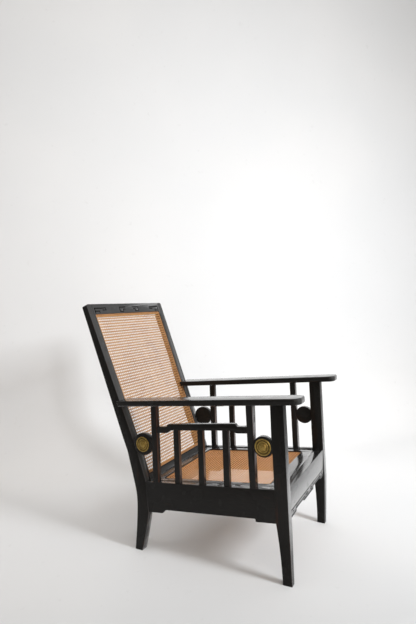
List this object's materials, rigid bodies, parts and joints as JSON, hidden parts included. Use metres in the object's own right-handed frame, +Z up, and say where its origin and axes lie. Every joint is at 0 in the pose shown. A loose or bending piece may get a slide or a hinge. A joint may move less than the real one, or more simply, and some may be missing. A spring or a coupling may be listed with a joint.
{
  "type": "planters chair",
  "caption": "Low reclined lounge chair with long flat arms, slatted sides with roundels, caned back and a loose caned seat frame.",
  "frame": {"origin": "on the floor under the centre of the bounding box", "axes": "+Z up; the sitter faces -Y; the sitter's right-hand side is at -X"},
  "size_m": [0.59, 0.9576, 1.02],
  "materials": {
    "ebonised_wood": "black polished lacquer over hardwood, faint grain, satin to gloss",
    "worn_ebonised_wood": "black polish worn to reddish brown along edges and hand-touched faces",
    "plain_wood": "unpolished dark hardwood",
    "cane": "honey to orange split cane, satin, open weave",
    "brass": "aged olive-gold brass, turned rings, dull in the grooves"
  },
  "bodies": {
    "frame": {"front_leg_left": "worn_ebonised_wood", "rear_leg_and_stile_left": "worn_ebonised_wood", "side_rail_left": "ebonised_wood", "arm_left": "worn_ebonised_wood", "tall_post_front_left": "ebonised_wood", "tall_post_rear_left": "ebonised_wood", "stepped_mid_rail_left": "ebonised_wood", "slat_1_left": "ebonised_wood", "slat_2_left": "ebonised_wood", "slat_3_left": "ebonised_wood", "roundel_disc_front_left": "ebonised_wood", "roundel_boss_front_left": "brass", "roundel_disc_rear_left": "ebonised_wood", "roundel_boss_rear_left": "brass", "front_leg_right": "worn_ebonised_wood", "rear_leg_and_stile_right": "worn_ebonised_wood", "side_rail_right": "ebonised_wood", "arm_right": "worn_ebonised_wood", "tall_post_front_right": "ebonised_wood", "tall_post_rear_right": "ebonised_wood", "stepped_mid_rail_right": "ebonised_wood", "slat_1_right": "ebonised_wood", "slat_2_right": "ebonised_wood", "slat_3_right": "ebonised_wood", "roundel_disc_front_right": "ebonised_wood", "roundel_boss_front_right": "brass", "roundel_disc_rear_right": "ebonised_wood", "roundel_boss_rear_right": "brass", "front_rail": "worn_ebonised_wood", "rear_rail": "ebonised_wood", "crest_rail": "worn_ebonised_wood", "back_lower_rail": "ebonised_wood", "back_strip_left": "worn_ebonised_wood", "back_strip_right": "worn_ebonised_wood", "back_cane": "cane", "back_cane_binder": "cane", "seat_ledger_left": "plain_wood", "seat_ledger_right": "plain_wood", "seat_ledger_front": "plain_wood"},
    "loose_seat": {"seat_front_member": "worn_ebonised_wood", "seat_rear_member": "ebonised_wood", "seat_side_member_left": "worn_ebonised_wood", "seat_side_member_right": "worn_ebonised_wood", "seat_cane": "cane", "seat_cane_binder": "cane"}
  },
  "joints": [
    {"name": "seat_lift", "type": "slide", "parent": "frame", "child": "loose_seat", "axis": [0, 0, 1], "range_m": [0, 0.12]}
  ]
}
